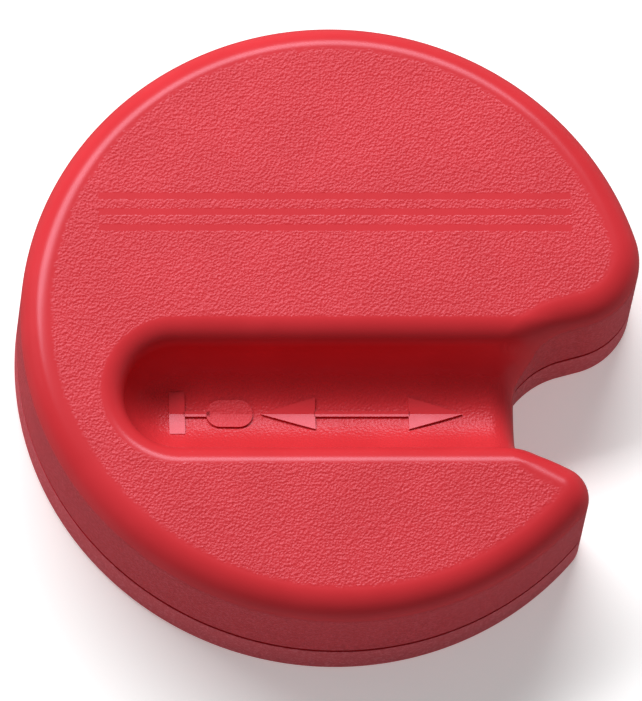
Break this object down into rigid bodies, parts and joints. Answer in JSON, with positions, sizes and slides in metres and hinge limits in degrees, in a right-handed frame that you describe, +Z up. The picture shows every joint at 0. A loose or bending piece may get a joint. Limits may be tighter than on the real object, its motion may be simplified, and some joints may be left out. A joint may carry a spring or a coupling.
{
  "type": "tool magnetizer",
  "caption": "Round hand-held magnetizer for screwdriver blades, with a ball-ended trough across the top that opens into a hooked notch in the rim.",
  "frame": {"origin": "centre of the round body's plan circle, on the flat base", "axes": "+Z up out of the top, +X along the trough from its closed end to the notch, +Y across the trough toward the broad lobe"},
  "size_m": [0.0591, 0.06, 0.0154],
  "materials": {
    "shell_red": "fine moulded grain on the flat top and the side, smooth on the rolled edges",
    "tray_black": "plain moulded",
    "foam": "closed-cell foam",
    "steel": "bare stamped steel",
    "plated_magnet": "nickel plated",
    "ferrite": "dull sintered"
  },
  "bodies": {
    "root": {"upper_shell": "shell_red", "lower_shell": "shell_red", "magnet_tray": "tray_black", "foam_pad": "foam", "yoke_plate": "steel", "magnet_left": "plated_magnet", "magnet_right": "plated_magnet", "pole_shoe_left": "steel", "pole_shoe_right": "steel", "nose_magnet": "ferrite"}
  },
  "joints": []
}
